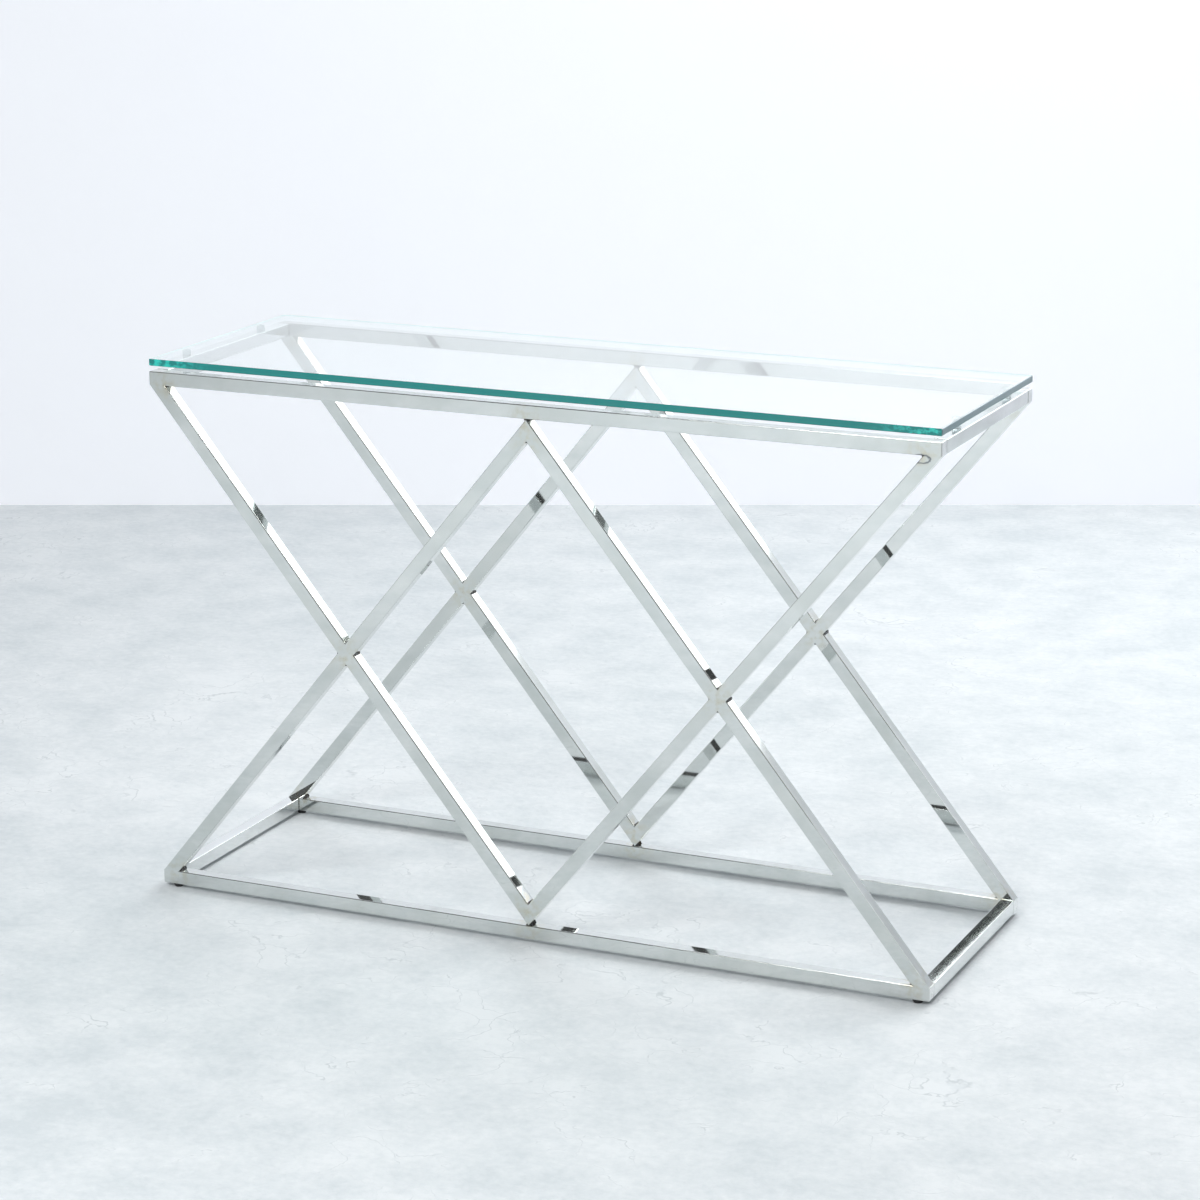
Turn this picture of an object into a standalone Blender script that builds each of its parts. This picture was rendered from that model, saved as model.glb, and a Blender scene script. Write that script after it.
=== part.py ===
"""Console table: a clear glass top on two trusses of mirror-polished square tube, joined by four end rails.

Metres, +Z up. The origin is on the floor, under the middle of the table. +X runs along the table to its
right end, and +Y from its front to its back.
"""

import math

import bmesh
import bpy
from mathutils import Matrix, Vector

# Driving dimensions.
LENGTH = 1.200
DEPTH = 0.400
HEIGHT = 0.800
TUBE = 0.020  # outside of the square tube
WALL = 0.0015
TUBE_EDGE = 0.0012  # radius along the tube's edges
GLASS_THICKNESS = 0.010
GLASS_ARRIS = 0.0008
PAD_HEIGHT = 0.008  # from the frame up to the glass
PAD_DIAMETER = 0.012
PAD_EDGE = 0.0008
PAD_FROM_MIDDLE = 0.110
FOOT_HEIGHT = 0.006  # from the floor up to the frame
FOOT_DIAMETER = 0.016
FOOT_FLOOR_DIAMETER = 0.013
FOOT_INSET = 0.0195
FOOT_EDGE = 0.0008
FOOT_TRAVEL = 0.008  # how far down a foot can be screwed
STEM_DIAMETER = 0.006
STEM_FROM_RAIL_TOP = 0.0035
BUSH_WALL = 0.002
BUSH_GRIP = 0.002  # bush left round the stem beyond the foot's travel
SPIGOT_LENGTH = 0.036
SPIGOT_SCREW_DIAMETER = 0.005
SPIGOT_SCREW_FROM_TRUSS = 0.020
SCREW_HEAD_DIAMETER = 0.009
SCREW_HEAD_CROWN = 0.0068  # diameter of the flat on top of the head
SCREW_HEAD_HEIGHT = 0.0025
SCREW_SOCKET = 0.003  # across the flats of the hexagon
SCREW_SOCKET_DEPTH = 0.0015
CAP_THICKNESS = 0.002
GAP = 0.0003  # between pieces that touch

# Heights and places that follow from them.
BOTTOM_RAIL_LOW = FOOT_HEIGHT
BOTTOM_RAIL_HIGH = BOTTOM_RAIL_LOW + TUBE
TOP_RAIL_HIGH = HEIGHT - GLASS_THICKNESS - PAD_HEIGHT
TOP_RAIL_LOW = TOP_RAIL_HIGH - TUBE
BRACE_LOW = BOTTOM_RAIL_HIGH + GAP
BRACE_HIGH = TOP_RAIL_LOW - GAP
HALF_LENGTH = LENGTH / 2
HALF_DEPTH = DEPTH / 2
CORE = TUBE - 2 * WALL
SPIGOT_SIDE = CORE - 2 * GAP
SCREW_HOLE_RADIUS = SPIGOT_SCREW_DIAMETER / 2 + GAP
STEM_HOLE_RADIUS = STEM_DIAMETER / 2 + GAP
BUSH_RADIUS = STEM_HOLE_RADIUS + BUSH_WALL
BUSH_LENGTH = FOOT_TRAVEL + BUSH_GRIP
FOOT_TOP = FOOT_HEIGHT - GAP
STEM_TOP = BOTTOM_RAIL_HIGH - STEM_FROM_RAIL_TOP
BRACE_STOCK = LENGTH + HEIGHT  # longer than any brace, before its ends are cut
ROUND_STEPS = 24
CUTTER_REACH = 0.02

for old in list(bpy.data.objects):
    bpy.data.objects.remove(old, do_unlink=True)
parts = bpy.data.collections.new("console_table")
cutters = bpy.data.collections.new("cutters")
bpy.context.scene.collection.children.link(parts)
bpy.context.scene.collection.children.link(cutters)


def make_material(name, colour, roughness, metallic, transmission=0.0):
    material = bpy.data.materials.new(name)
    material.use_nodes = True
    shader = material.node_tree.nodes["Principled BSDF"]
    shader.inputs["Base Color"].default_value = (*colour, 1.0)
    shader.inputs["Roughness"].default_value = roughness
    shader.inputs["Metallic"].default_value = metallic
    shader.inputs["Transmission Weight"].default_value = transmission
    return material


POLISHED_STEEL = make_material("polished_steel", (0.80, 0.81, 0.80), 0.04, 1.0)
CLEAR_GLASS = make_material("clear_glass", (0.86, 0.94, 0.92), 0.02, 0.0, 0.95)
CLEAR_RUBBER = make_material("clear_rubber", (0.85, 0.87, 0.86), 0.15, 0.0, 0.7)
BLACK_PLASTIC = make_material("black_plastic", (0.02, 0.02, 0.022), 0.45, 0.0)
ZINC_STEEL = make_material("zinc_steel", (0.60, 0.61, 0.62), 0.32, 1.0)


def place(name, shape, material, collection=parts):
    """Turns a bmesh into an object of this name."""
    mesh = bpy.data.meshes.new(name)
    bmesh.ops.recalc_face_normals(shape, faces=shape.faces)
    shape.to_mesh(mesh)
    shape.free()
    thing = bpy.data.objects.new(name, mesh)
    if material:
        mesh.materials.append(material)
    collection.objects.link(thing)
    return thing


def hide_cutter(thing):
    thing.hide_render = True
    thing.display_type = "WIRE"
    return thing


def cut(thing, cutter, operation="DIFFERENCE"):
    step = thing.modifiers.new("cut_" + cutter.name, "BOOLEAN")
    step.operation = operation
    step.solver = "EXACT"
    step.object = cutter


def block(size, centre=(0, 0, 0)):
    shape = bmesh.new()
    bmesh.ops.create_cube(shape, size=1.0)
    bmesh.ops.scale(shape, vec=Vector(size), verts=shape.verts)
    bmesh.ops.translate(shape, vec=Vector(centre), verts=shape.verts)
    return shape


def round_edges(shape, radius, steps, direction=None):
    """Rounds every edge, or only the edges that run along one direction."""
    chosen = []
    for edge in shape.edges:
        run = (edge.verts[1].co - edge.verts[0].co).normalized()
        if direction is None or abs(run.dot(direction)) > 0.99:
            chosen.append(edge)
    bmesh.ops.bevel(shape, geom=chosen, offset=radius, segments=steps, profile=0.5, affect="EDGES")


def cylinder(radius, low, high, centre, top_radius=None, steps=ROUND_STEPS):
    """An upright cylinder, or a cone if its top has a radius of its own."""
    shape = bmesh.new()
    bmesh.ops.create_cone(
        shape,
        cap_ends=True,
        segments=steps,
        radius1=radius,
        radius2=radius if top_radius is None else top_radius,
        depth=high - low,
    )
    bmesh.ops.translate(shape, vec=Vector((*centre, (low + high) / 2)), verts=shape.verts)
    return shape


def keep_side(shape, point, outward):
    """Cuts the solid along a plane, removes what lies beyond it and closes the cut."""
    bisected = bmesh.ops.bisect_plane(
        shape,
        geom=shape.verts[:] + shape.edges[:] + shape.faces[:],
        plane_co=point,
        plane_no=outward,
        clear_outer=True,
    )
    rim = [item for item in bisected["geom_cut"] if isinstance(item, bmesh.types.BMEdge)]
    bmesh.ops.holes_fill(shape, edges=rim, sides=0)


def square_tube(name, middle, along, length, planes=()):
    """A square tube centred on a point, its axis in the XZ plane or along Y, its ends cut to the planes."""
    along = Vector(along).normalized()
    side = Vector((0, 1, 0)) if abs(along.y) < 0.5 else Vector((1, 0, 0))
    turn = Matrix((along, side, along.cross(side))).transposed().to_4x4()
    spot = Matrix.Translation(Vector(middle)) @ turn
    bar = block((length, TUBE, TUBE))
    round_edges(bar, TUBE_EDGE, 2, Vector((1, 0, 0)))
    bmesh.ops.transform(bar, matrix=spot, verts=bar.verts)
    for point, outward in planes:
        keep_side(bar, Vector(point), Vector(outward))
    tube = place(name, bar, POLISHED_STEEL)
    core = block((length + CUTTER_REACH, CORE, CORE))
    bmesh.ops.transform(core, matrix=spot, verts=core.verts)
    cut(tube, hide_cutter(place(name + "_core", core, None, cutters)))
    return tube


def drill(thing, radius, x, y, low, high):
    hole = cylinder(radius, low, high, (x, y))
    cut(thing, hide_cutter(place(thing.name + "_hole", hole, None, cutters)))


def make_rail(truss, level, y):
    """A long rail of one truss, open at its ends until the caps close them."""
    low = BOTTOM_RAIL_LOW if level == "bottom" else TOP_RAIL_LOW
    length = LENGTH - 2 * (CAP_THICKNESS + GAP)
    rail = square_tube(f"{truss}_{level}_rail", (0, y, low + TUBE / 2), (1, 0, 0), length)
    if level == "bottom":
        for side in (-1, 1):
            x = side * (HALF_LENGTH - FOOT_INSET)
            drill(rail, BUSH_RADIUS + GAP, x, y, low - CUTTER_REACH, low + TUBE / 2)
    for side, end in ((-1, "left"), (1, "right")):
        centre = (side * (HALF_LENGTH - CAP_THICKNESS / 2), y, low + TUBE / 2)
        cap = block((CAP_THICKNESS, TUBE, TUBE), centre)
        round_edges(cap, TUBE_EDGE, 2, Vector((1, 0, 0)))
        place(f"{truss}_{level}_{end}_end_cap", cap, POLISHED_STEEL)


def brace_line(half, falling):
    """A point on a brace's axis and its direction, for the left (-1) or right (1) half of a truss.

    Its outer edge runs from a rail's end corner to the middle of the other rail.
    """
    outer = Vector((half * HALF_LENGTH, 0, BRACE_HIGH if falling else BRACE_LOW))
    inner = Vector((0, 0, BRACE_LOW if falling else BRACE_HIGH))
    along = (inner - outer).normalized()
    towards_middle = Vector((-along.z, 0, along.x))
    if towards_middle.x * half > 0:
        towards_middle = -towards_middle
    return (outer + inner) / 2 + towards_middle * TUBE / 2, along


def make_braces(truss, y):
    """The crossing pair in each half of a truss: the falling brace is whole, the rising one is in two."""
    ends = (
        ((0, 0, BRACE_HIGH), (0, 0, 1)),
        ((0, 0, BRACE_LOW), (0, 0, -1)),
    )
    for half, side in ((-1, "left"), (1, "right")):
        middle_cut = ((half * GAP / 2, 0, 0), (-half, 0, 0))
        name = f"{truss}_{side}"
        point, along = brace_line(half, True)
        point.y = y
        square_tube(f"{name}_through_brace", point, along, BRACE_STOCK, (*ends, middle_cut))
        across = Vector((along.z, 0, -along.x))
        rising_point, rising = brace_line(half, False)
        rising_point.y = y
        for direction in (-1, 1):
            outward = across * direction
            stop = (point + outward * (TUBE / 2 + GAP), -outward)
            where = "lower" if outward.z < 0 else "upper"
            cuts = (*ends, middle_cut, stop)
            square_tube(f"{name}_{where}_half_brace", rising_point, rising, BRACE_STOCK, cuts)


def make_end_rail(end, side, level):
    """An end rail between the trusses, with a spigot and a screw at each of its ends."""
    low = BOTTOM_RAIL_LOW if level == "bottom" else TOP_RAIL_LOW
    x = side * (HALF_LENGTH - TUBE / 2)
    truss_face = HALF_DEPTH - TUBE
    middle = low + TUBE / 2
    rail = square_tube(f"{end}_{level}_end_rail", (x, 0, middle), (0, 1, 0), 2 * (truss_face - GAP))
    for facing, truss in ((-1, "front"), (1, "back")):
        name = f"{end}_{level}_{truss}"
        centre_y = facing * (truss_face - GAP - SPIGOT_LENGTH / 2)
        bar = block((SPIGOT_SIDE, SPIGOT_LENGTH, SPIGOT_SIDE), (x, centre_y, middle))
        spigot = place(f"{name}_spigot", bar, ZINC_STEEL)
        screw_y = facing * (truss_face - SPIGOT_SCREW_FROM_TRUSS)
        drill(spigot, SCREW_HOLE_RADIUS, x, screw_y, low - CUTTER_REACH, low + TUBE + CUTTER_REACH)
        drill(rail, SCREW_HOLE_RADIUS, x, screw_y, low - CUTTER_REACH, middle)
        make_spigot_screw(f"{name}_screw", x, screw_y, low)


def make_spigot_screw(name, x, y, rail_low):
    """A button-head screw pointing up from the rail's underside, with a hexagon socket in its head."""
    head_high = rail_low - GAP
    head_low = head_high - SCREW_HEAD_HEIGHT
    shank_high = rail_low + TUBE - WALL - 2 * GAP
    head = cylinder(SCREW_HEAD_CROWN / 2, head_low, head_high, (x, y), SCREW_HEAD_DIAMETER / 2)
    screw = place(name, head, ZINC_STEEL)
    shank = cylinder(SPIGOT_SCREW_DIAMETER / 2, head_high - GAP, shank_high, (x, y))
    cut(screw, hide_cutter(place(name + "_shank", shank, None, cutters)), "UNION")
    socket_radius = SCREW_SOCKET / math.sqrt(3)
    socket = cylinder(socket_radius, head_low - GAP, head_low + SCREW_SOCKET_DEPTH, (x, y), steps=6)
    cut(screw, hide_cutter(place(name + "_socket", socket, None, cutters)))


def turned(name, profile, material, x, y):
    """A solid turned about a vertical axis through (x, y), from (radius, height) pairs listed from top to bottom."""
    mesh = bpy.data.meshes.new(name)
    points = [(radius, 0, height) for radius, height in profile]
    mesh.from_pydata(points, [(i, i + 1) for i in range(len(points) - 1)], [])
    mesh.materials.append(material)
    thing = bpy.data.objects.new(name, mesh)
    thing.location = (x, y, 0)
    parts.objects.link(thing)
    spin = thing.modifiers.new("turn", "SCREW")
    spin.axis = "Z"
    spin.steps = ROUND_STEPS
    spin.render_steps = ROUND_STEPS
    spin.use_merge_vertices = True
    spin.merge_threshold = 0.00001
    return thing


def make_foot(truss, y, end, side):
    """A threaded bush in the rail's underside and the foot that screws into it. The foot moves along Z."""
    x = side * (HALF_LENGTH - FOOT_INSET)
    sleeve = cylinder(BUSH_RADIUS, BOTTOM_RAIL_LOW, BOTTOM_RAIL_LOW + BUSH_LENGTH, (x, y))
    bush = place(f"{truss}_{end}_foot_bush", sleeve, ZINC_STEEL)
    drill(bush, STEM_HOLE_RADIUS, x, y, BOTTOM_RAIL_LOW - CUTTER_REACH, BOTTOM_RAIL_HIGH)
    stem = STEM_DIAMETER / 2
    half_edge = FOOT_EDGE / 2
    profile = [
        (0, STEM_TOP),
        (stem - half_edge, STEM_TOP),
        (stem, STEM_TOP - half_edge),
        (stem, FOOT_TOP),
        (FOOT_DIAMETER / 2 - half_edge, FOOT_TOP),
        (FOOT_DIAMETER / 2, FOOT_TOP - FOOT_EDGE),
        (FOOT_FLOOR_DIAMETER / 2 + half_edge, FOOT_EDGE),
        (FOOT_FLOOR_DIAMETER / 2 - half_edge, 0),
        (0, 0),
    ]
    turned(f"{truss}_{end}_foot", profile, BLACK_PLASTIC, x, y)


def make_pad(truss, facing, end, side):
    """A clear disc between an end rail and the glass."""
    low = TOP_RAIL_HIGH + GAP
    high = TOP_RAIL_HIGH + PAD_HEIGHT - GAP
    radius = PAD_DIAMETER / 2
    profile = [
        (0, high),
        (radius - PAD_EDGE, high),
        (radius, high - PAD_EDGE),
        (radius, low + PAD_EDGE),
        (radius - PAD_EDGE, low),
        (0, low),
    ]
    x = side * (HALF_LENGTH - TUBE / 2)
    turned(f"{end}_{truss}_glass_pad", profile, CLEAR_RUBBER, x, facing * PAD_FROM_MIDDLE)


def make_glass():
    centre = (0, 0, HEIGHT - GLASS_THICKNESS / 2)
    shape = block((LENGTH, DEPTH, GLASS_THICKNESS), centre)
    round_edges(shape, GLASS_ARRIS, 1)
    place("glass_top", shape, CLEAR_GLASS)


for truss, facing in (("front", -1), ("back", 1)):
    truss_y = facing * (HALF_DEPTH - TUBE / 2)
    make_rail(truss, "top", truss_y)
    make_rail(truss, "bottom", truss_y)
    make_braces(truss, truss_y)
    for end, side in (("left", -1), ("right", 1)):
        make_foot(truss, truss_y, end, side)
        make_pad(truss, facing, end, side)
for end, side in (("left", -1), ("right", 1)):
    make_end_rail(end, side, "top")
    make_end_rail(end, side, "bottom")
make_glass()
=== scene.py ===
import math

import bpy
import numpy as np
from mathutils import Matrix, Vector


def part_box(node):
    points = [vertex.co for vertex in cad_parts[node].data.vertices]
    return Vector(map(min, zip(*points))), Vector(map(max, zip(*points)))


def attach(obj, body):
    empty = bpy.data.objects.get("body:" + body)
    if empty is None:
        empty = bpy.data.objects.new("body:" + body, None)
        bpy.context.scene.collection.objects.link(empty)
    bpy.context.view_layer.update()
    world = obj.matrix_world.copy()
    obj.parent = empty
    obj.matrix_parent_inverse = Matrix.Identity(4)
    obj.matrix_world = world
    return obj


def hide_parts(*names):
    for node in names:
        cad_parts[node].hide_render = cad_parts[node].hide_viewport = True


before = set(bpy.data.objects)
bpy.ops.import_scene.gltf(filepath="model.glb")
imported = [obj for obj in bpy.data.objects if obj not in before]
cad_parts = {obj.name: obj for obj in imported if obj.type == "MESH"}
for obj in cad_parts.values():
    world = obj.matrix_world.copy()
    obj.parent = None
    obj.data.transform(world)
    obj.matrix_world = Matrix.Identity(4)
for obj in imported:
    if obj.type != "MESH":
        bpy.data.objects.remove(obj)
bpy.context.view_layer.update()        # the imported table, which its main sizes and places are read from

FRAME_BODY = "table_frame"
ENDS = ("left", "right")
TRUSSES = ("front", "back")
EPS = 0.00006  # a hair of flat kept beside each rounded edge, so that mirror faces stay flat


def corners(node):
    """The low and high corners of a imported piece's box."""
    low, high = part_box(node)
    return np.array(low, float), np.array(high, float)


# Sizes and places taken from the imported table.
glass_low, glass_high = corners("glass_top")
bottom_low, bottom_high = corners("front_bottom_rail")
top_low, _ = corners("front_top_rail")
HALF_LENGTH = (glass_high[0] - glass_low[0]) / 2
HALF_DEPTH = (glass_high[1] - glass_low[1]) / 2
TUBE = bottom_high[2] - bottom_low[2]
HALF_TUBE = TUBE / 2
BRACE_LOW = bottom_high[2]
BRACE_HIGH = top_low[2]
BRACE_ANGLE = math.atan2(BRACE_HIGH - BRACE_LOW, HALF_LENGTH)

# Sizes of the finish, set here.
WALL = 0.0015
EDGE = 0.0012  # radius of the tube's polished edges
EDGE_STEPS = 4
SEAM = 0.0010  # how far each end rail stops short of its truss, so that the weld groove shows
SEAM_DEPTH = 0.0011  # how deep the weld lies in that groove
STATION_SPACING = 0.010
BRACE_STATIONS = 121
BRACE_SINK = EDGE  # how far the ends of the braces reach into what they are welded to
PAD_SQUASH = 0.0002  # how far a pad swells to touch the glass and the rail
GLASS_CORNER = 0.0015
GLASS_ARRIS = 0.0008
SMOOTH_LIMIT = math.radians(38)
GLASS_SMOOTH_LIMIT = math.radians(30)
LEVEL = 0.99  # upward part of a normal, past which a face of the glass counts as flat
HAIR_GAP = 0.0001  # a clearance too small to see
STEM_GAP = 0.0003  # between a foot and the rail above it
BUSH_DRILL_DEPTH = 0.02


# ---------------------------------------------------------------- meshes


def square_parts(steps=EDGE_STEPS):
    """Splits a round-cornered square into three parts that add up: which corner a point belongs to, where it
    is on that corner's quarter circle less the corner itself, and the hair of flat kept at either end."""
    sweep = np.linspace(0.0, math.pi / 2, steps + 1)
    arc = np.stack([np.cos(sweep), np.sin(sweep)], 1)
    arc = np.vstack([arc[:1], arc, arc[-1:]])
    flat = np.zeros_like(arc)
    flat[0] = (0.0, -EPS)
    flat[-1] = (-EPS, 0.0)
    angles = np.arange(4) * math.pi / 2
    turns = np.array([[[math.cos(a), math.sin(a)], [-math.sin(a), math.cos(a)]] for a in angles])
    corner = np.ones_like(arc)
    return [np.concatenate(part @ turns) for part in (corner, arc - corner, flat)]


CORNER, ARC, FLAT = square_parts()


def outlines(half_width, half_height, radius):
    """Round-cornered rectangles, one for each entry: half sizes times corner, plus radius times arc."""
    halves = np.stack(np.broadcast_arrays(half_width, half_height), -1)[:, None, :]
    return CORNER * halves + ARC * np.asarray(radius)[:, None, None] + FLAT


def carried(outline, distance, middle, along, across, up):
    """A surface: each outline set square to the axis at its distance along it."""
    frame_axes = np.stack([across, up])
    return middle + np.asarray(distance)[:, None, None] * along + outline @ frame_axes


def tube_rings(side, stations, middle, along, across, up):
    """Rings of a square profile, shrunk and with a smaller corner radius where a station says so."""
    distance, shrink = np.array(stations).T
    half = side / 2 - shrink
    radius = np.maximum(EDGE - shrink / 2, EDGE * 0.3)
    return carried(outlines(half, half, radius), distance, middle, along, across, up)


def shell(rings, closed=False, inward=False):
    """A skin over a grid of points (rings, around, 3): quads between neighbours, and fans over the ends.
    The sum of each triangle's triple product is its volume, whose sign says which way it faces."""
    count, around, _ = rings.shape
    points = rings.reshape(-1, 3)
    i, j = np.meshgrid(np.arange(count if closed else count - 1), np.arange(around), indexing="ij")
    below, above, beside = i * around, (i + 1) % count * around, (j + 1) % around
    quads = np.stack([below + j, below + beside, above + beside, above + j], -1).reshape(-1, 4)
    fans = np.zeros((0, 3), int)
    if not closed:
        points = np.vstack([points, rings[0].mean(0), rings[-1].mean(0)])
        here = np.arange(around)
        then = (here + 1) % around
        start, end, last = len(points) - 2, len(points) - 1, (count - 1) * around
        fans = np.vstack([
            np.column_stack([np.full(around, start), then, here]),
            np.column_stack([np.full(around, end), last + here, last + then]),
        ])
    triangles = np.vstack([quads[:, [0, 1, 2]], quads[:, [0, 2, 3]], fans])
    a, b, c = (points[triangles[:, k]] for k in range(3))
    volume = np.einsum("ij,ij->i", a, np.cross(b, c)).sum()
    if (volume < 0) != inward:
        quads, fans = quads[:, ::-1], fans[:, ::-1]
    return points, quads, fans


def joined(shells):
    """Several skins as one mesh: points in a row, and faces counted on from where each skin starts."""
    starts = np.cumsum([0] + [len(points) for points, _, _ in shells[:-1]])
    points = np.vstack([points for points, _, _ in shells])
    quads = np.vstack([quads + start for (_, quads, _), start in zip(shells, starts)])
    fans = np.vstack([fans + start for (_, _, fans), start in zip(shells, starts)])
    return points, quads, fans


def add_piece(name, shape, material, nodes, body=FRAME_BODY, sharp=SMOOTH_LIMIT):
    """Makes the mesh an object, shades it smooth up to the sharp angle, and ties it to its body."""
    points, quads, fans = shape
    mesh = bpy.data.meshes.new(name)
    mesh.from_pydata(points.tolist(), [], quads.tolist() + fans.tolist())
    mesh.validate()
    mesh.materials.append(material)
    mesh.shade_smooth()
    mesh.set_sharp_from_angle(angle=sharp)
    piece = bpy.data.objects.new(name, mesh)
    bpy.context.scene.collection.objects.link(piece)
    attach(piece, body)
    if nodes:
        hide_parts(*nodes)
    return piece


ALONG_X, ALONG_Y, ALONG_Z = np.eye(3)


def end_rounding(half):
    """Distances and shrinks that round a bar's end: a quarter circle, then a hair of flat."""
    sweep = np.linspace(0.0, math.pi / 2, EDGE_STEPS + 1)
    rounding = [(half - EDGE + EDGE * math.sin(a), EDGE * (1 - math.cos(a))) for a in sweep]
    return [(half - EDGE - EPS, 0.0), *rounding, (half, EDGE + EPS)]


def bar_stations(half):
    """Stations from one rounded end of a bar to the other, evenly spaced between."""
    end = end_rounding(half)
    steps = max(2, round(2 * half / STATION_SPACING))
    inner = np.linspace(-half, half, steps + 1)[1:-1]
    return [(-d, s) for d, s in end[::-1]] + [(d, 0.0) for d in inner] + end


def rail_shape(y, z):
    """A long rail: a square tube along X closed by flush end walls, as an outer skin and an inner one."""
    middle = np.array([0.0, y, z])
    outer = tube_rings(TUBE, bar_stations(HALF_LENGTH), middle, ALONG_X, ALONG_Y, ALONG_Z)
    reach = HALF_LENGTH - 2 * WALL
    inner = tube_rings(TUBE - 2 * WALL, [(-reach, 0.0), (reach, 0.0)], middle, ALONG_X, ALONG_Y, ALONG_Z)
    return joined([shell(outer), shell(inner, inward=True)])


def end_rail_shape(x, z, half):
    """An end rail: an open square tube along Y with rounded ends, its outside and bore one closed skin."""
    middle = np.array([x, 0.0, z])
    stations = [s for s in bar_stations(half) if s[1] <= EDGE]
    outer = tube_rings(TUBE, stations, middle, ALONG_Y, ALONG_X, ALONG_Z)
    inner = tube_rings(TUBE - 2 * WALL, [(half, 0.0), (-half, 0.0)], middle, ALONG_Y, ALONG_X, ALONG_Z)
    return shell(np.concatenate([outer, inner]), closed=True)


def seam_shape(x, z, y, way):
    """A weld run in the groove where an end rail meets a truss: a square ring carried a short way along Y."""
    middle, along = np.array([x, y, z]), way * ALONG_Y
    near, far = -0.0025, 0.0015
    depth = WALL + 0.0002
    outer = tube_rings(TUBE, [(near, SEAM_DEPTH), (far, SEAM_DEPTH)], middle, along, ALONG_X, ALONG_Z)
    inner = tube_rings(TUBE, [(far, depth), (near, depth)], middle, along, ALONG_X, ALONG_Z)
    return shell(np.concatenate([outer, inner]), closed=True)


def brace_shape(y, point, along, start, stop):
    """A brace: every line of the square profile runs from one cutting plane to the other, in even steps.
    Where a line meets a plane is the point's distance from the plane over the line's speed towards it."""
    up = np.cross(along, ALONG_Y)
    outline = outlines([HALF_TUBE], [HALF_TUBE], [EDGE])[0]
    lines = np.array([point[0], y, point[1]]) + outline @ np.stack([ALONG_Y, up])
    ends = []
    for plane_point, normal in (start, stop):
        reach = ((plane_point - lines) @ normal) / (along @ normal)
        end = lines + reach[:, None] * along
        end[:, 0] = np.clip(end[:, 0], -HALF_LENGTH, HALF_LENGTH)
        ends.append(end)
    share = np.linspace(0.0, 1.0, BRACE_STATIONS)[:, None, None]
    return shell(ends[0] * (1 - share) + ends[1] * share)


def turned_shape(x, y, radius, height, around):
    """A solid of revolution: radius, a grid over height and angle, swung round an upright axis at x and y."""
    angle = np.linspace(0.0, 2 * math.pi, around, endpoint=False)
    radius, height = np.broadcast_arrays(radius, np.asarray(height)[:, None])
    radius = np.broadcast_to(radius, (len(height), around))
    height = np.broadcast_to(height, radius.shape)
    return shell(np.stack([x + radius * np.cos(angle), y + radius * np.sin(angle), height], -1))


def quarter_round(radius, steps):
    """How far a rounded edge stands in and down: radius times one less the sine, and one less the cosine."""
    sweep = np.linspace(0.0, math.pi / 2, steps)
    return radius * (1 - np.sin(sweep)), radius * (1 - np.cos(sweep))


def pad_shape(x, y, low, high, reach):
    """A clear pad: a flat disc with rounded rims."""
    inset, drop = quarter_round(0.0009, 6)
    rim = reach - inset
    radius = np.concatenate([[reach * 0.4], rim, rim[::-1], [reach * 0.4]])
    height = np.concatenate([[high], high - drop, low + drop[::-1], [low]])
    return turned_shape(x, y, radius[:, None], height, 48)


def screw_shape(x, y, head_top, shank_high):
    """A button-head screw pointing up: its crown is an ellipse, its socket a hexagon, whose radius is the
    apothem over the cosine of the angle from the nearest flat's middle."""
    around, sector, crown_start = 48, math.pi / 3, 0.38
    head, thickness, shank, apothem, depth = 0.0045, 0.0025, 0.0025, 0.0015, 0.0015
    angle = np.linspace(0.0, 2 * math.pi, around, endpoint=False)
    hexagon = apothem / np.cos(np.mod(angle, sector) - sector / 2)
    low = head_top - thickness
    crown = np.linspace(crown_start, math.pi / 2, 9)
    plain = np.concatenate([head * np.sin(crown), [shank, shank, shank * 0.8]])
    radius = np.vstack([np.outer([0.3, 1.0, 1.0], hexagon), np.repeat(plain[:, None], around, 1)])
    height = np.concatenate([
        [low + depth, low + depth, low],
        head_top - thickness * np.cos(crown) / math.cos(crown_start),
        [head_top, shank_high, shank_high],
    ])
    return turned_shape(x, y, radius, height, around)


def foot_shape(x, y, top, stem_top):
    """A tapered foot on a threaded stem. The thread takes from the radius a triangle wave of height over
    pitch plus turn, and the grip flutes take a cosine of the angle that swells and fades down the side."""
    around, pitch, thread, flute, flutes = 96, 0.001, 0.00028, 0.00022, 28
    stem, wide, narrow, tip = 0.003, 0.008, 0.0065, 0.004
    rim, sole = quarter_round(0.0006, 5), quarter_round(0.0008, 5)
    angle = np.linspace(0.0, 2 * math.pi, around, endpoint=False)
    stem_z = np.arange(stem_top, top, -pitch / 6)
    turn = np.abs(np.mod(stem_z[:, None] / pitch + angle / (2 * math.pi), 1.0) * 2 - 1)
    stem_r = (stem - thread * turn) * np.minimum(1.0, 0.82 + (stem_top - stem_z) / tip)[:, None]
    share = np.linspace(0.06, 0.86, 11)
    side_z = top - 0.0006 - (top - 0.0014) * share
    swell = np.sqrt(np.sin(math.pi * (share - 0.06) / 0.8).clip(0.0))[:, None]
    fluting = flute * swell * (0.5 - 0.5 * np.cos(angle * flutes))
    side_r = (wide + (narrow - wide) * share)[:, None] - fluting

    def plain(radius):
        """Rings of one radius all the way round."""
        return np.repeat(np.atleast_1d(radius)[:, None], around, 1)

    radius = np.vstack([
        plain(stem * 0.5), stem_r, plain(stem - thread), plain(wide - rim[0]),
        side_r, plain(narrow - sole[0][::-1]), plain(narrow * 0.7),
    ])
    height = np.concatenate([[stem_top], stem_z, [top], top - rim[1], side_z, sole[1][::-1], [0.0]])
    return turned_shape(x, y, radius, height, around)


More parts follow.
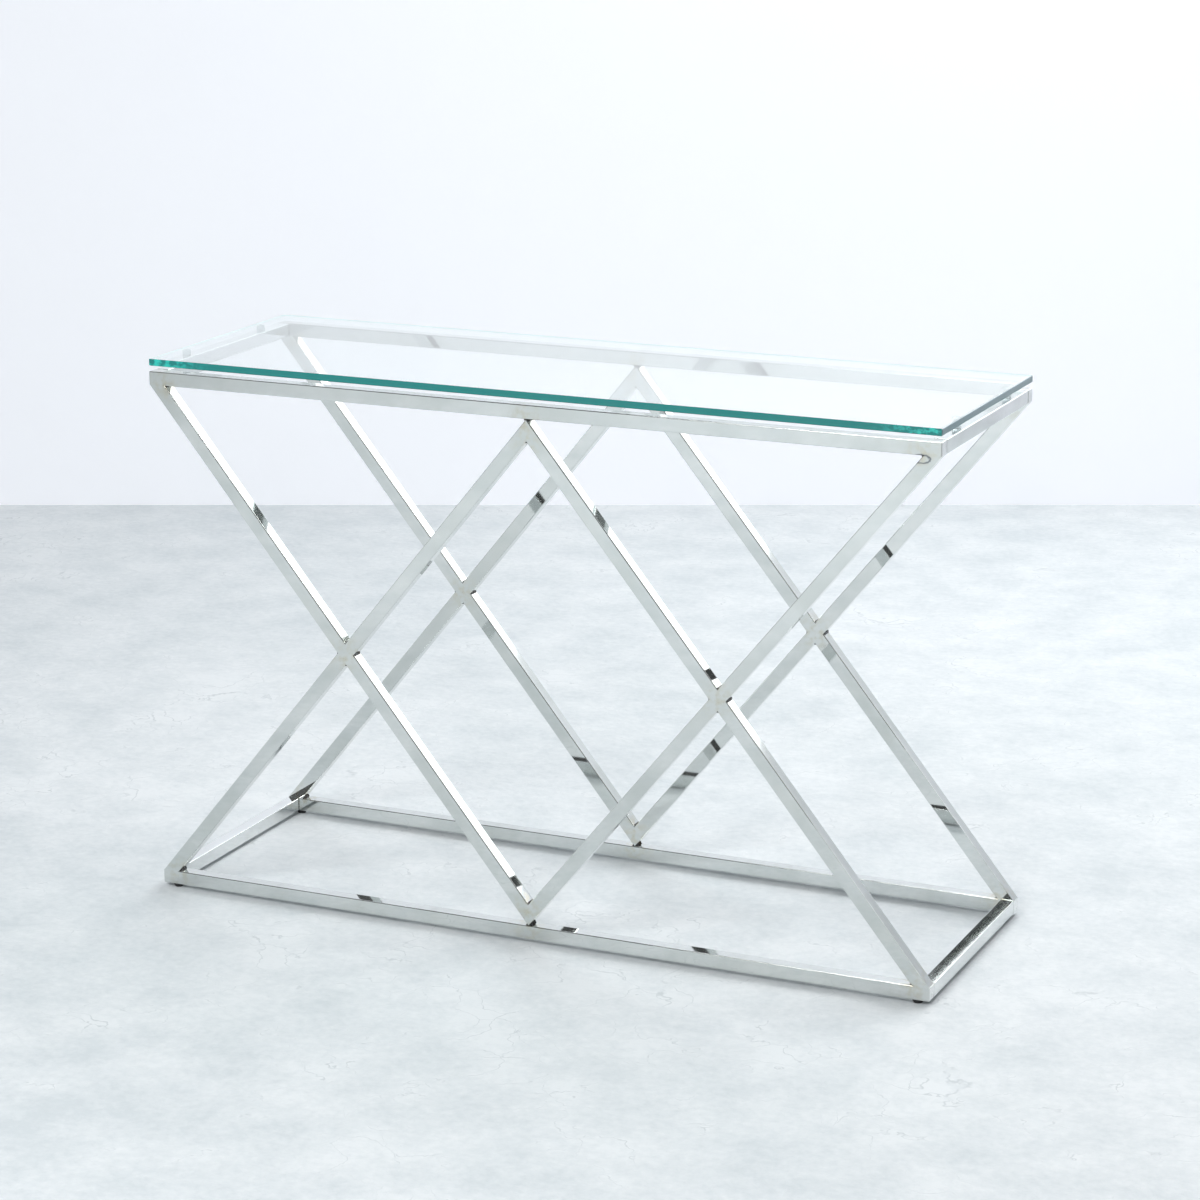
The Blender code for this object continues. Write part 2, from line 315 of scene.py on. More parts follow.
def slab_shape(low, high, corner, arris):
    """A sheet of glass: a round-cornered rectangle lofted through an arris, a polished edge and an arris."""
    half = (high - low) / 2
    inset = np.array([arris, 0.0, 0.0, arris])
    height = np.array([low[2], low[2] + arris, high[2] - arris, high[2]])
    outline = outlines(half[0] - inset, half[1] - inset, np.full(4, corner))
    middle = np.array([(low[0] + high[0]) / 2, (low[1] + high[1]) / 2, 0.0])
    return shell(carried(outline, height, middle, ALONG_Z, ALONG_X, ALONG_Y))


def fillet_shape(corner, legs, y, size, width, seed):
    """A weld left in a corner: a curve pulled towards the corner from leg to leg, carried across the tube
    while two sine ripples swell and shrink it."""
    corner, first, second = (spatial(p) for p in (corner, *legs))
    start, end = corner + first * size, corner + second * size
    pull = corner + (first + second) * size * 0.42
    share = np.linspace(0.0, 1.0, 7)[:, None]
    arc = start * (1 - share) ** 2 + 2 * pull * share * (1 - share) + end * share**2
    into = (first + second) * size
    outline = np.vstack([arc, end - into * 0.2, corner - into * 0.35, start - into * 0.2])
    reach = np.linspace(-width / 2, width / 2, 25)
    ripple = 1.0 + 0.09 * np.sin(reach * 2600 + seed) + 0.05 * np.sin(reach * 1100 + 2 * seed)
    ripple[[0, -1]] *= 0.55
    rings = corner + (outline - corner) * ripple[:, None, None]
    rings[:, :, 1] += y + reach[:, None]
    return shell(rings)


def spatial(flat):
    """A point or direction in the XZ plane, in space."""
    return np.array([flat[0], 0.0, flat[1]])


# ---------------------------------------------------------------- materials


def node(tree, kind, **settings):
    """Adds a node. A setting is an input's value where the node has that input, and else its property."""
    made = tree.nodes.new(kind)
    for name, value in settings.items():
        if name in made.inputs:
            made.inputs[name].default_value = value
        else:
            setattr(made, name, value)
    return made


def finish_group():
    """Shared surface: smudges that shift colour and roughness, and a slow wave with fine grain as bump."""
    group = bpy.data.node_groups.new("surface_finish", "ShaderNodeTree")
    for name, kind, start in (
        ("Colour", "NodeSocketColor", (0.8, 0.8, 0.8, 1.0)),
        ("Dark Colour", "NodeSocketColor", (0.7, 0.7, 0.7, 1.0)),
        ("Smooth", "NodeSocketFloat", 0.04),
        ("Rough", "NodeSocketFloat", 0.10),
        ("Smudge Scale", "NodeSocketFloat", 12.0),
        ("Grain Scale", "NodeSocketFloat", 600.0),
        ("Wave Height", "NodeSocketFloat", 0.00002),
        ("Grain Height", "NodeSocketFloat", 0.00001),
        ("Stretch", "NodeSocketVector", (1.0, 1.0, 1.0)),
    ):
        socket = group.interface.new_socket(name=name, in_out="INPUT", socket_type=kind)
        socket.default_value = start
    for name, kind in (
        ("Colour", "NodeSocketColor"),
        ("Roughness", "NodeSocketFloat"),
        ("Normal", "NodeSocketVector"),
    ):
        group.interface.new_socket(name=name, in_out="OUTPUT", socket_type=kind)
    inside = group.nodes.new("NodeGroupInput")
    outside = group.nodes.new("NodeGroupOutput")
    join = group.links.new
    place = node(group, "ShaderNodeTexCoord")
    stretched = node(group, "ShaderNodeVectorMath", operation="MULTIPLY")
    join(place.outputs["Object"], stretched.inputs[0])
    join(inside.outputs["Stretch"], stretched.inputs[1])
    smudge = node(group, "ShaderNodeTexNoise", Detail=4.0, Roughness=0.6)
    join(place.outputs["Object"], smudge.inputs["Vector"])
    join(inside.outputs["Smudge Scale"], smudge.inputs["Scale"])
    spread = node(group, "ShaderNodeMapRange", interpolation_type="SMOOTHSTEP")
    spread.inputs["From Min"].default_value = 0.38
    spread.inputs["From Max"].default_value = 0.68
    join(smudge.outputs["Fac"], spread.inputs["Value"])
    grain = node(group, "ShaderNodeTexNoise", Detail=3.0, Roughness=0.55)
    join(stretched.outputs["Vector"], grain.inputs["Vector"])
    join(inside.outputs["Grain Scale"], grain.inputs["Scale"])
    colours = node(group, "ShaderNodeMix", data_type="RGBA")
    join(spread.outputs["Result"], colours.inputs["Factor"])
    join(inside.outputs["Colour"], colours.inputs["A"])
    join(inside.outputs["Dark Colour"], colours.inputs["B"])
    amount = node(group, "ShaderNodeMath", operation="MULTIPLY")
    join(spread.outputs["Result"], amount.inputs[0])
    join(grain.outputs["Fac"], amount.inputs[1])
    rough = node(group, "ShaderNodeMapRange")
    join(amount.outputs["Value"], rough.inputs["Value"])
    join(inside.outputs["Smooth"], rough.inputs["To Min"])
    join(inside.outputs["Rough"], rough.inputs["To Max"])
    wave = node(group, "ShaderNodeBump", Strength=1.0)
    join(smudge.outputs["Fac"], wave.inputs["Height"])
    join(inside.outputs["Wave Height"], wave.inputs["Distance"])
    fine = node(group, "ShaderNodeBump", Strength=1.0)
    join(grain.outputs["Fac"], fine.inputs["Height"])
    join(inside.outputs["Grain Height"], fine.inputs["Distance"])
    join(wave.outputs["Normal"], fine.inputs["Normal"])
    join(colours.outputs["Result"], outside.inputs["Colour"])
    join(rough.outputs["Result"], outside.inputs["Roughness"])
    join(fine.outputs["Normal"], outside.inputs["Normal"])
    return group


SURFACE_FINISH = finish_group()


def finished_material(name, colour, dark, smooth, rough, settings=(), **shader_values):
    """A Principled material whose colour, roughness and normal come from the shared surface finish."""
    material = bpy.data.materials.new(name)
    material.use_nodes = True
    tree = material.node_tree
    shader = tree.nodes["Principled BSDF"]
    for key, value in shader_values.items():
        shader.inputs[key.replace("_", " ")].default_value = value
    finish = node(tree, "ShaderNodeGroup", node_tree=SURFACE_FINISH)
    finish.inputs["Colour"].default_value = (*colour, 1.0)
    finish.inputs["Dark Colour"].default_value = (*dark, 1.0)
    finish.inputs["Smooth"].default_value = smooth
    finish.inputs["Rough"].default_value = rough
    for key, value in settings:
        finish.inputs[key].default_value = value
    tree.links.new(finish.outputs["Colour"], shader.inputs["Base Color"])
    tree.links.new(finish.outputs["Roughness"], shader.inputs["Roughness"])
    tree.links.new(finish.outputs["Normal"], shader.inputs["Normal"])
    return material


STEEL = (0.700, 0.722, 0.712)
STEEL_DULL = (0.630, 0.655, 0.638)
STRAW = (0.600, 0.575, 0.480)
WELD_MARK_PLACE = (HALF_LENGTH - 0.0275, -HALF_DEPTH, BRACE_HIGH - 0.0045)
WELD_MARK_REACH = (0.0115, 0.0030, 0.0060)


def polished_steel():
    """Mirror-polished stainless steel, with a faint straw heat tint where the weld_tint attribute is high.
    Noise breaks the tint into blotches, and roughness rises with it."""
    material = finished_material(
        "mirror_steel", STEEL, STEEL_DULL, 0.025, 0.085,
        (("Smudge Scale", 9.0), ("Grain Scale", 260.0), ("Wave Height", 1e-5), ("Grain Height", 3e-7)),
        Metallic=1.0,
    )
    tree = material.node_tree
    shader = tree.nodes["Principled BSDF"]
    colour = shader.inputs["Base Color"].links[0].from_socket
    heat = node(tree, "ShaderNodeAttribute", attribute_name="weld_tint")
    cloud = node(tree, "ShaderNodeTexNoise", Scale=95.0, Detail=3.0)
    place = node(tree, "ShaderNodeTexCoord")
    tree.links.new(place.outputs["Object"], cloud.inputs["Vector"])
    blotch = node(tree, "ShaderNodeMapRange", interpolation_type="SMOOTHSTEP")
    blotch.inputs["From Min"].default_value = 0.40
    blotch.inputs["From Max"].default_value = 0.66
    tree.links.new(cloud.outputs["Fac"], blotch.inputs["Value"])
    broken = node(tree, "ShaderNodeMath", operation="MULTIPLY")
    tree.links.new(heat.outputs["Fac"], broken.inputs[0])
    tree.links.new(blotch.outputs["Result"], broken.inputs[1])
    tint = node(tree, "ShaderNodeMix", data_type="RGBA")
    tint.inputs["B"].default_value = (*STRAW, 1.0)
    tree.links.new(broken.outputs["Value"], tint.inputs["Factor"])
    tree.links.new(colour, tint.inputs["A"])
    tint = add_weld_mark(tree, place, tint)
    ground = node(tree, "ShaderNodeMath", operation="MULTIPLY_ADD")
    ground.inputs[1].default_value = 0.10
    tree.links.new(broken.outputs["Value"], ground.inputs[0])
    tree.links.new(shader.inputs["Roughness"].links[0].from_socket, ground.inputs[2])
    tree.links.new(ground.outputs["Value"], shader.inputs["Roughness"])
    tree.links.new(tint.outputs["Result"], shader.inputs["Base Color"])
    return material


def add_weld_mark(tree, place, below):
    """Draws the outline of the ground-back weld bead under the front top rail's right end, as an ellipse."""
    away = node(tree, "ShaderNodeVectorMath", operation="SUBTRACT")
    away.inputs[1].default_value = WELD_MARK_PLACE
    tree.links.new(place.outputs["Object"], away.inputs[0])
    scaled = node(tree, "ShaderNodeVectorMath", operation="MULTIPLY")
    scaled.inputs[1].default_value = tuple(1 / reach for reach in WELD_MARK_REACH)
    tree.links.new(away.outputs["Vector"], scaled.inputs[0])
    wobble = node(tree, "ShaderNodeTexNoise", Scale=220.0, Detail=2.0)
    tree.links.new(place.outputs["Object"], wobble.inputs["Vector"])
    reach = node(tree, "ShaderNodeVectorMath", operation="LENGTH")
    tree.links.new(scaled.outputs["Vector"], reach.inputs[0])
    uneven = node(tree, "ShaderNodeMath", operation="MULTIPLY_ADD")
    uneven.inputs[1].default_value = 0.5
    tree.links.new(wobble.outputs["Fac"], uneven.inputs[0])
    tree.links.new(reach.outputs["Value"], uneven.inputs[2])
    rim = node(tree, "ShaderNodeValToRGB")
    ramp = rim.color_ramp
    ramp.elements[0].position = 0.42
    ramp.elements[0].color = (0.0, 0.0, 0.0, 1.0)
    ramp.elements[1].position = 0.66
    ramp.elements[1].color = (0.0, 0.0, 0.0, 1.0)
    ramp.elements.new(0.55).color = (1.0, 1.0, 1.0, 1.0)
    halved = node(tree, "ShaderNodeMath", operation="MULTIPLY")
    halved.inputs[1].default_value = 0.45
    tree.links.new(uneven.outputs["Value"], halved.inputs[0])
    tree.links.new(halved.outputs["Value"], rim.inputs["Fac"])
    marked = node(tree, "ShaderNodeMix", data_type="RGBA")
    marked.inputs["B"].default_value = (0.16, 0.17, 0.19, 1.0)
    tree.links.new(rim.outputs["Color"], marked.inputs["Factor"])
    tree.links.new(below.outputs["Result"], marked.inputs["A"])
    return marked


def see_through(material, clear_colour):
    """Lets light pass a clear piece to what is beneath it: to shadow and diffuse rays it is a tinted pane."""
    tree = material.node_tree
    shader = tree.nodes["Principled BSDF"]
    output = tree.nodes["Material Output"]
    path = node(tree, "ShaderNodeLightPath")
    either = node(tree, "ShaderNodeMath", operation="MAXIMUM")
    pane = node(tree, "ShaderNodeBsdfTransparent", Color=(*clear_colour, 1.0))
    chosen = node(tree, "ShaderNodeMixShader")
    tree.links.new(path.outputs["Is Shadow Ray"], either.inputs[0])
    tree.links.new(path.outputs["Is Diffuse Ray"], either.inputs[1])
    tree.links.new(either.outputs["Value"], chosen.inputs["Fac"])
    tree.links.new(shader.outputs["BSDF"], chosen.inputs[1])
    tree.links.new(pane.outputs["BSDF"], chosen.inputs[2])
    tree.links.new(chosen.outputs["Shader"], output.inputs["Surface"])


def glass_face():
    """Clear glass with a faint green cast, for the sheet's two faces."""
    material = finished_material(
        "clear_glass", (0.955, 0.985, 0.980), (0.950, 0.982, 0.977), 0.0, 0.012,
        (("Smudge Scale", 5.0), ("Wave Height", 0.00001), ("Grain Height", 0.0)),
        Transmission_Weight=1.0, IOR=1.50,
    )
    see_through(material, (0.93, 0.965, 0.96))
    return material


def glass_edge():
    """The glass seen end-on: deep teal with paler streaks near the ends, and a greyer painted reflection on
    the short sides.
    """
    material = bpy.data.materials.new("glass_edge")
    material.use_nodes = True
    tree = material.node_tree
    shader = tree.nodes["Principled BSDF"]
    shader.inputs["Roughness"].default_value = 0.06
    shader.inputs["IOR"].default_value = 1.5
    shader.inputs["Coat Weight"].default_value = 0.3
    shader.inputs["Coat Roughness"].default_value = 0.03
    place = node(tree, "ShaderNodeTexCoord")
    apart = node(tree, "ShaderNodeSeparateXYZ")
    tree.links.new(place.outputs["Object"], apart.inputs["Vector"])
    outward = node(tree, "ShaderNodeMath", operation="ABSOLUTE")
    tree.links.new(apart.outputs["X"], outward.inputs[0])
    ending = node(tree, "ShaderNodeMapRange", interpolation_type="SMOOTHSTEP")
    ending.inputs["From Min"].default_value = HALF_LENGTH - 0.11
    ending.inputs["From Max"].default_value = HALF_LENGTH - 0.01
    tree.links.new(outward.outputs["Value"], ending.inputs["Value"])
    squeezed = node(tree, "ShaderNodeVectorMath", operation="MULTIPLY")
    squeezed.inputs[1].default_value = (110.0, 110.0, 160.0)
    tree.links.new(place.outputs["Object"], squeezed.inputs[0])
    noise = node(tree, "ShaderNodeTexNoise", Scale=1.0, Detail=2.0)
    tree.links.new(squeezed.outputs["Vector"], noise.inputs["Vector"])
    streak = node(tree, "ShaderNodeMapRange", interpolation_type="SMOOTHSTEP")
    streak.inputs["From Min"].default_value = 0.42
    streak.inputs["From Max"].default_value = 0.60
    tree.links.new(noise.outputs["Fac"], streak.inputs["Value"])
    amount = node(tree, "ShaderNodeMath", operation="MULTIPLY")
    tree.links.new(streak.outputs["Result"], amount.inputs[0])
    tree.links.new(ending.outputs["Result"], amount.inputs[1])
    teal = node(tree, "ShaderNodeMix", data_type="RGBA")
    teal.inputs["A"].default_value = (0.002, 0.215, 0.200, 1.0)
    teal.inputs["B"].default_value = (0.020, 0.560, 0.480, 1.0)
    tree.links.new(amount.outputs["Value"], teal.inputs["Factor"])
    # The short sides get a lighter grey-teal, a painted reflection of the surround.
    beyond = node(tree, "ShaderNodeMath", operation="GREATER_THAN")
    beyond.inputs[1].default_value = HALF_LENGTH - 0.0009
    tree.links.new(outward.outputs["Value"], beyond.inputs[0])
    short_side_reflection = node(tree, "ShaderNodeMix", data_type="RGBA")
    short_side_reflection.inputs["B"].default_value = (0.140, 0.240, 0.265, 1.0)
    tree.links.new(beyond.outputs["Value"], short_side_reflection.inputs["Factor"])
    tree.links.new(teal.outputs["Result"], short_side_reflection.inputs["A"])
    within = node(tree, "ShaderNodeNewGeometry")
    inside = node(tree, "ShaderNodeMix", data_type="RGBA")
    inside.inputs["B"].default_value = (0.78, 0.92, 0.92, 1.0)
    tree.links.new(within.outputs["Backfacing"], inside.inputs["Factor"])
    tree.links.new(short_side_reflection.outputs["Result"], inside.inputs["A"])
    tree.links.new(inside.outputs["Result"], shader.inputs["Base Color"])
    return material


MIRROR_STEEL = polished_steel()
GLASS_FACE = glass_face()
GLASS_EDGE = glass_edge()
SATIN_STEEL = finished_material(
    "satin_steel", (0.820, 0.838, 0.834), (0.760, 0.778, 0.774), 0.055, 0.11,
    (("Smudge Scale", 14.0), ("Grain Scale", 900.0), ("Wave Height", 0.00001), ("Grain Height", 0.000002)),
    Metallic=1.0,
)
CAP_STEEL = finished_material(
    "ground_end_steel", (0.86, 0.87, 0.87), (0.80, 0.81, 0.81), 0.22, 0.34,
    (("Smudge Scale", 60.0), ("Grain Scale", 1100.0), ("Grain Height", 0.00001)),
    Metallic=1.0,
)
# Near-black weld metal: partly the welds' own dull brownish colour, partly painted shade for the dark acute
# notches and the seam grooves.
WELD_STEEL_AND_SHADE = finished_material(
    "weld_steel_and_painted_shade", (0.070, 0.072, 0.075), (0.050, 0.040, 0.030), 0.20, 0.42,
    (("Smudge Scale", 120.0), ("Grain Scale", 900.0), ("Wave Height", 0.0001), ("Grain Height", 0.00004)),
    Metallic=1.0,
)
ZINC = finished_material(
    "zinc_plate", (0.60, 0.61, 0.62), (0.44, 0.45, 0.46), 0.22, 0.46,
    (("Smudge Scale", 160.0), ("Grain Scale", 1400.0), ("Grain Height", 0.000006)),
    Metallic=1.0,
)
FOOT_PLASTIC = finished_material(
    "foot_plastic", (0.014, 0.014, 0.015), (0.030, 0.030, 0.031), 0.36, 0.62,
    (("Smudge Scale", 240.0), ("Grain Scale", 2400.0), ("Grain Height", 0.00003)),
)
PAD_RUBBER = finished_material(
    "clear_pad", (0.66, 0.71, 0.72), (0.58, 0.63, 0.64), 0.04, 0.14,
    (("Smudge Scale", 200.0), ("Grain Scale", 1500.0), ("Grain Height", 0.000004)),
    Transmission_Weight=0.85, IOR=1.45,
)
see_through(PAD_RUBBER, (0.55, 0.60, 0.60))


# ---------------------------------------------------------------- trusses


def brace_axis(half, falling):
    """The middle of a brace and its direction, in the XZ plane."""
    outer = np.array([half * HALF_LENGTH, BRACE_HIGH if falling else BRACE_LOW])
    inner = np.array([0.0, BRACE_LOW if falling else BRACE_HIGH])
    along = (inner - outer) / np.linalg.norm(inner - outer)
    towards = np.array([-along[1], along[0]])
    if towards[0] * half > 0:
        towards = -towards
    return (outer + inner) / 2 + towards * HALF_TUBE, along


def weld_spots():
    """Where tubes are welded, in the XZ plane: rail ends, rail middles and the crossings."""
    width = TUBE / math.sin(BRACE_ANGLE)
    middle = (BRACE_LOW + BRACE_HIGH) / 2
    notch = 0.8 * TUBE / math.cos(BRACE_ANGLE)
    spots = [(0.0, BRACE_LOW), (0.0, BRACE_HIGH), (0.0, BRACE_LOW + notch), (0.0, BRACE_HIGH - notch)]
    for half in (-1.0, 1.0):
        spots += [(half * (HALF_LENGTH - width), z) for z in (BRACE_LOW, BRACE_HIGH)]
        spots.append((half * (HALF_LENGTH / 2 - width / 2), middle))
    return np.array(spots)


WELD_SPOTS = weld_spots()
HEAT_REACH = 0.021


def paint_heat(piece):
    """Stores, at each point, how near the closest weld is: one at the weld, falling off as a bell curve."""
    mesh = piece.data
    places = np.empty(len(mesh.vertices) * 3, np.float32)
    mesh.vertices.foreach_get("co", places)
    places = places.reshape(-1, 3)[:, [0, 2]]
    away = np.linalg.norm(places[:, None] - WELD_SPOTS[None], axis=2).min(1)
    heat = mesh.attributes.new("weld_tint", "FLOAT", "POINT")
    heat.data.foreach_set("value", np.exp(-((away / HEAT_REACH) ** 2)).astype(np.float32))


def drill_foot_holes(piece, truss):
    """Opens the rail's underside for the threaded bushes, with cylinders cut out of it."""
    for end in ENDS:
        low, high = corners(f"{truss}_{end}_foot_bush")
        bpy.ops.mesh.primitive_cylinder_add(
            vertices=48,
            radius=(high[0] - low[0]) / 2 + HAIR_GAP,
            depth=BUSH_DRILL_DEPTH,
            location=((low[0] + high[0]) / 2, (low[1] + high[1]) / 2, low[2]),
        )
        drill = bpy.context.object
        step = piece.modifiers.new("foot_hole", "BOOLEAN")
        step.solver = "EXACT"
        step.object = drill
        depsgraph = bpy.context.evaluated_depsgraph_get()
        cut = bpy.data.meshes.new_from_object(piece.evaluated_get(depsgraph))
        piece.modifiers.remove(step)
        piece.data = cut
        bpy.data.objects.remove(drill)
    piece.data.set_sharp_from_angle(angle=SMOOTH_LIMIT)


def face_values(mesh, name):
    """One vector for each face: its centre or its normal."""
    values = np.empty(len(mesh.polygons) * 3, np.float32)
    mesh.polygons.foreach_get(name, values)
    return values.reshape(-1, 3)


def second_material(piece, material, chosen):
    """Gives the chosen faces a second material."""
    piece.data.materials.append(material)
    piece.data.polygons.foreach_set("material_index", chosen.astype(np.int32))


def add_truss(truss):
    """The two rails, two whole and four half braces, and weld fillets of one truss."""
    low, high = corners(f"{truss}_bottom_rail")
    y = (low[1] + high[1]) / 2
    for level, z in (("bottom", bottom_low[2] + HALF_TUBE), ("top", top_low[2] + HALF_TUBE)):
        name = f"{truss}_{level}_rail"
        nodes = [name, f"{truss}_{level}_left_end_cap", f"{truss}_{level}_right_end_cap"]
        rail = add_piece(f"{name}_polished", rail_shape(y, z), MIRROR_STEEL, nodes)
        if level == "bottom":
            drill_foot_holes(rail, truss)
        paint_heat(rail)
        outward = np.abs(face_values(rail.data, "center")[:, 0])
        second_material(rail, CAP_STEEL, outward > HALF_LENGTH - 2 * HAIR_GAP)
    mitre = (np.zeros(3), ALONG_X)
    roof = ((BRACE_HIGH + BRACE_SINK) * ALONG_Z, ALONG_Z)
    floor = ((BRACE_LOW - BRACE_SINK) * ALONG_Z, -ALONG_Z)
    welds = []
    for half, side in ((-1.0, "left"), (1.0, "right")):
        point, along = brace_axis(half, True)
        shape = brace_shape(y, point, spatial(along), roof, mitre)
        name = f"{truss}_{side}_through_brace"
        paint_heat(add_piece(f"{name}_polished", shape, MIRROR_STEEL, [name]))
        rising, climb = brace_axis(half, False)
        normal = np.array([along[1], -along[0]])
        for where, start, stop in (("lower", floor, None), ("upper", None, mitre)):
            outward = normal if (normal[1] < 0) == (where == "lower") else -normal
            cut = point + outward * (HALF_TUBE - BRACE_SINK)
            plane = (spatial(cut), spatial(outward))
            name = f"{truss}_{side}_{where}_half_brace"
            shape = brace_shape(y, rising, spatial(climb), start or plane, stop or plane)
            paint_heat(add_piece(f"{name}_polished", shape, MIRROR_STEEL, [name]))
        welds += corner_welds(half, y, point, along, rising, climb)
    welds += middle_welds(y)
    add_piece(f"{truss}_weld_fillets", joined(welds), WELD_STEEL_AND_SHADE, [])


WELD_SIZE = 0.0032
WELD_WIDTH = TUBE - 2 * EDGE


def corner_welds(half, y, point, along, rising, climb):
    """Welds at the rail ends and round the crossing of one half of a truss."""
    made = []
    width = TUBE / math.sin(BRACE_ANGLE)
    for z, way in ((BRACE_HIGH, along), (BRACE_LOW, climb)):
        corner = (half * (HALF_LENGTH - width), z)
        legs = (way, np.array([-half, 0.0]))
        made.append(fillet_shape(corner, legs, y, WELD_SIZE, WELD_WIDTH, z * 9 + half))
    matrix = np.column_stack([along, -climb])
    normal = np.array([along[1], -along[0]])
    other = np.array([climb[1], -climb[0]])
    for a in (-1.0, 1.0):
        for b in (-1.0, 1.0):
            first, second = point + normal * a * HALF_TUBE, rising + other * b * HALF_TUBE
            share = np.linalg.solve(matrix, second - first)
            corner = first + along * share[0]
            leg = along if (along @ other) * b > 0 else -along
            climbing = climb if (climb @ normal) * a > 0 else -climb
            seed = a + 3 * b + half
            made.append(fillet_shape(corner, (leg, climbing), y, WELD_SIZE * 0.8, WELD_WIDTH, seed))
    return made


def middle_welds(y):
    """Welds where two braces meet a rail at its middle: one in each acute corner and one in the notch."""
    made = []
    slope = np.array([math.cos(BRACE_ANGLE), math.sin(BRACE_ANGLE)])
    rise = TUBE / math.cos(BRACE_ANGLE)
    for z, way in ((BRACE_LOW, 1.0), (BRACE_HIGH, -1.0)):
        for side in (-1.0, 1.0):
            legs = (np.array([side * slope[0], way * slope[1]]), np.array([side, 0.0]))
            made.append(fillet_shape((0.0, z), legs, y, WELD_SIZE * 1.5, WELD_WIDTH, side + z))
        legs = tuple(np.array([side * slope[0], way * slope[1]]) for side in (-1.0, 1.0))
        made.append(fillet_shape((0.0, z + way * rise), legs, y, WELD_SIZE, WELD_WIDTH, z * 5))
    return made


for truss in TRUSSES:
    add_truss(truss)


# ---------------------------------------------------------------- end rails, screws, pads, feet and glass

for end in ENDS:
    for level in ("bottom", "top"):
        name = f"{end}_{level}_end_rail"
        low, high = corners(name)
        centre = (low + high) / 2
        half = (high[1] - low[1]) / 2 - SEAM
        shape = end_rail_shape(centre[0], centre[2], half)
        add_piece(f"{name}_polished", shape, SATIN_STEEL, [name])
        seams = [seam_shape(centre[0], centre[2], way * high[1], way) for way in (-1.0, 1.0)]
        add_piece(f"{name}_seam_welds", joined(seams), WELD_STEEL_AND_SHADE, [])
        for truss in TRUSSES:
            screw = f"{end}_{level}_{truss}_screw"
            s_low, s_high = corners(screw)
            centre = (s_low + s_high) / 2
            shape = screw_shape(centre[0], centre[1], low[2] - HAIR_GAP, s_high[2])
            add_piece(f"{screw}_head", shape, ZINC, [screw])
    for truss in TRUSSES:
        pad = f"{end}_{truss}_glass_pad"
        low, high = corners(pad)
        centre, reach = (low + high) / 2, (high[0] - low[0]) / 2
        shape = pad_shape(centre[0], centre[1], low[2] - PAD_SQUASH, high[2] + PAD_SQUASH, reach)
        add_piece(f"{pad}_clear", shape, PAD_RUBBER, [pad])
        foot = f"{truss}_{end}_foot"
        low, high = corners(foot)
        centre = (low + high) / 2
        shape = foot_shape(centre[0], centre[1], bottom_low[2] - STEM_GAP, high[2])
        add_piece(f"{foot}_moulded", shape, FOOT_PLASTIC, [foot], body=f"{foot}_body")

slab = slab_shape(glass_low, glass_high, GLASS_CORNER, GLASS_ARRIS)
glass = add_piece("glass_sheet", slab, GLASS_FACE, ["glass_top"], sharp=GLASS_SMOOTH_LIMIT)
second_material(glass, GLASS_EDGE, np.abs(face_values(glass.data, "normal")[:, 2]) <= LEVEL)

for name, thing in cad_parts.items():
    if name.endswith(("_spigot", "_bush")):
        thing.data.materials.clear()
        thing.data.materials.append(ZINC)


# ---------------------------------------------------------------- studio and camera


FLOOR_REACH = 30.0
BACKDROP_DISTANCE = 7.38
BACKDROP_WIDTH = 16.0
BACKDROP_HEIGHT = 4.0
SURROUND = 0.95
FRONT_SHADE = 0.10
TOP_SHADE = 0.30
OVERHEAD_POWER = 90.0
WALL_POWER = 42.0
FRONT_POWER = 160.0
CAMERA_AZIMUTH = math.radians(23.98)
CAMERA_ELEVATION = math.radians(13.14)
CAMERA_DISTANCE = 4.965
CAMERA_TARGET = Vector((0.0189, 0.0084, 0.6054))
CAMERA_BACK = Vector((
    math.sin(CAMERA_AZIMUTH) * math.cos(CAMERA_ELEVATION),
    -math.cos(CAMERA_AZIMUTH) * math.cos(CAMERA_ELEVATION),
    math.sin(CAMERA_ELEVATION),
))
CAMERA_PLACE = CAMERA_TARGET + CAMERA_BACK * CAMERA_DISTANCE


def wall_plane(distance, bearing, width, height):
    """An upright sheet facing the camera, standing on the floor at a distance from it along its bearing."""
    forward = np.array([-math.sin(bearing), math.cos(bearing), 0.0])
    sideways = np.array([math.cos(bearing), math.sin(bearing), 0.0])
    foot = np.array([CAMERA_PLACE.x, CAMERA_PLACE.y, 0.0]) + forward * distance
    spans = np.array([[-1, 0], [1, 0], [1, 1], [-1, 1]])
    return foot + spans[:, :1] * sideways * width / 2 + spans[:, 1:] * np.array([0.0, 0.0, height])


def stage_sheet(name, points, material):
    """A flat four-cornered part of the studio."""
    mesh = bpy.data.meshes.new(name)
    mesh.from_pydata(np.asarray(points).tolist(), [], [[0, 1, 2, 3]])
    mesh.materials.append(material)
    sheet = bpy.data.objects.new(name, mesh)
    bpy.context.scene.collection.objects.link(sheet)
    return sheet


